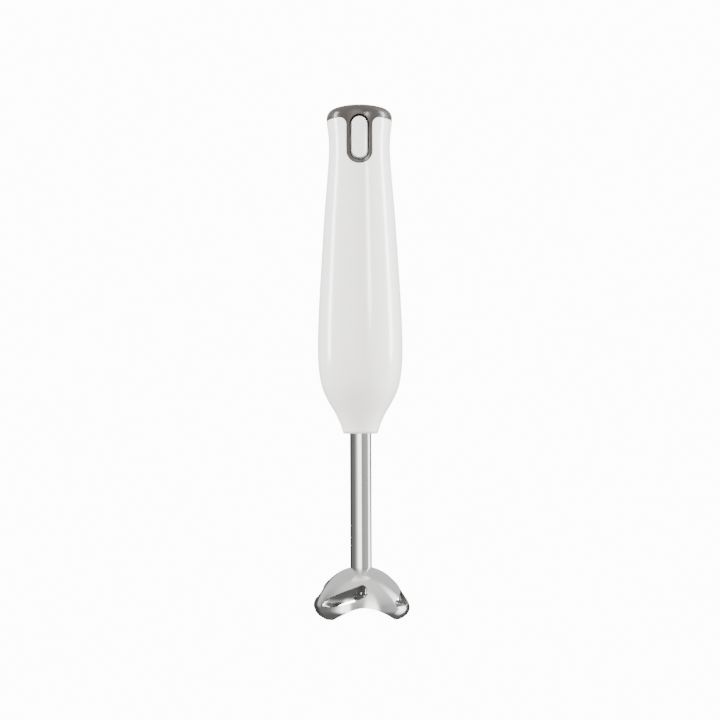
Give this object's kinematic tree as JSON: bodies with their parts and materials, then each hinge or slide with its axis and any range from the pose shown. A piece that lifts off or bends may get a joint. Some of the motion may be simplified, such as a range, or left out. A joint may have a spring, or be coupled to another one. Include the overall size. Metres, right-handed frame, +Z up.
{
  "type": "immersion blender",
  "caption": "Hand-held immersion blender: slim white grip with a grey cap and push button, steel leg and a fluted slotted steel bell over a spinning blade",
  "frame": {"origin": "on the drive axis, in the plane of the bell's feet", "axes": "+Z up the drive axis to the cap, -Y towards the button side, +X to the right seen from the button side"},
  "size_m": [0.0712, 0.0712, 0.3812],
  "materials": {
    "white_plastic": "glossy moulded ABS",
    "grey_plastic": "glossy warm grey moulded ABS",
    "black_plastic": "fine moulded texture",
    "dark_nylon": "glass-filled nylon",
    "pale_nylon": "natural nylon",
    "red_plastic": "moulded",
    "green_plastic": "moulded",
    "yellow_plastic": "potted box",
    "black_rubber": "soft moulded rubber",
    "brown_insulation": "PVC insulation",
    "blue_insulation": "PVC insulation",
    "board_laminate": "solder-resist coated laminate",
    "stainless": "polished stainless sheet and tube",
    "blade_steel": "ground stainless, sharpened edges",
    "shaft_steel": "ground bar",
    "bearing_steel": "ground rings",
    "screw_steel": "zinc plated",
    "spring_steel": "drawn wire",
    "core_steel": "stacked laminations, varnished",
    "copper": "copper, varnished where wound",
    "brass": "stamped sheet",
    "bronze": "sintered bronze",
    "carbon": "pressed carbon"
  },
  "bodies": {
    "handle": {"front_shell": "white_plastic", "rear_shell": "white_plastic", "top_cap": "grey_plastic", "button_seal": "black_rubber", "button_spring": "spring_steel", "switch_bracket": "black_plastic", "bracket_screws": "screw_steel", "switch_body": "black_plastic", "switch_screws": "screw_steel", "switch_terminals": "brass", "shell_screws": "screw_steel", "cord_gland": "black_rubber", "cord_clamp": "black_plastic", "clamp_screws": "screw_steel", "circuit_board": "board_laminate", "board_screws": "screw_steel", "terminal_block": "green_plastic", "capacitor": "yellow_plastic", "choke": "copper", "rectifier_diodes": "black_plastic", "switch_wires": "brown_insulation", "brush_wires": "blue_insulation", "upper_motor_bracket": "dark_nylon", "lower_motor_bracket": "dark_nylon", "upper_damper": "black_rubber", "lower_damper": "black_rubber", "motor_screws": "screw_steel", "stator_core": "core_steel", "field_coils": "copper", "brush_holders": "brass", "brushes": "carbon", "brush_springs": "spring_steel", "upper_motor_bearing": "bearing_steel", "lower_motor_bearing": "bearing_steel", "leg_socket": "dark_nylon", "leg_tube": "stainless", "upper_leg_bush": "bronze", "lower_leg_bush": "bronze", "bearing_carrier": "dark_nylon", "shaft_seal": "black_rubber", "bell_guard": "stainless"},
    "button": {"power_button": "white_plastic"},
    "plunger": {"switch_plunger": "red_plastic"},
    "rotor": {"motor_shaft": "shaft_steel", "armature_core": "core_steel", "armature_windings": "copper", "commutator": "copper", "cooling_fan": "dark_nylon", "motor_coupling": "black_plastic", "shaft_coupling": "pale_nylon", "drive_shaft": "shaft_steel", "thrust_washer": "pale_nylon", "blade_hub": "stainless", "blade": "blade_steel", "blade_nut": "stainless"}
  },
  "joints": [
    {"name": "drive_spin", "type": "hinge", "parent": "handle", "child": "rotor", "pos_m": [0, 0, 0.2], "axis": [0, 0, 1], "continuous": true},
    {"name": "button_press", "type": "slide", "parent": "handle", "child": "button", "axis": [0, 1, 0], "range_m": [0, 0.002], "stiffness_N_per_m": 1200, "springref_m": -0.001, "deforming": ["button_spring"]},
    {"name": "plunger_slide", "type": "slide", "parent": "handle", "child": "plunger", "axis": [0, 1, 0], "range_m": [0, 0.002]}
  ],
  "couplings": [
    {"joint": "plunger_slide", "follows": "button_press", "ratio": 1}
  ]
}
